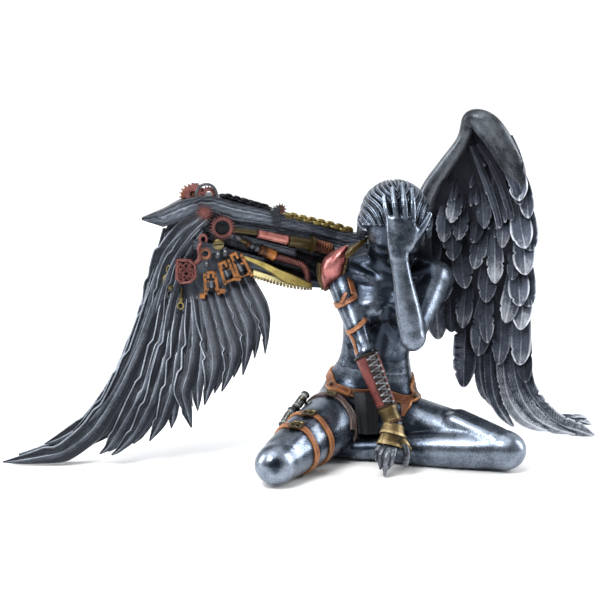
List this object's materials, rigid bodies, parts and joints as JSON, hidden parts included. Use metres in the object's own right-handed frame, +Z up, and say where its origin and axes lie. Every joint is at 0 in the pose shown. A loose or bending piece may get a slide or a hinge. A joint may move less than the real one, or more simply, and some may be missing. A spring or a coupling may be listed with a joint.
{
  "type": "winged woman figurine",
  "caption": "Seated winged woman hiding her face in one hand, with one feathered wing and one mechanical wing of blades, gears and pistons, as a painted table figurine.",
  "frame": {"origin": "centre of the whole figurine's bounding box, on the ground it sits on", "axes": "+X to the viewer's right across both wings, +Y away from the viewer, +Z up"},
  "size_m": [0.3986, 0.1441, 0.2299],
  "materials": {
    "pewter_body": "satin",
    "pewter_feathers": "satin",
    "pewter_blades": "satin"
  },
  "bodies": {
    "root": {"figure": "pewter_body", "feathered_wing": "pewter_feathers", "mechanical_wing": "pewter_blades"}
  },
  "joints": []
}
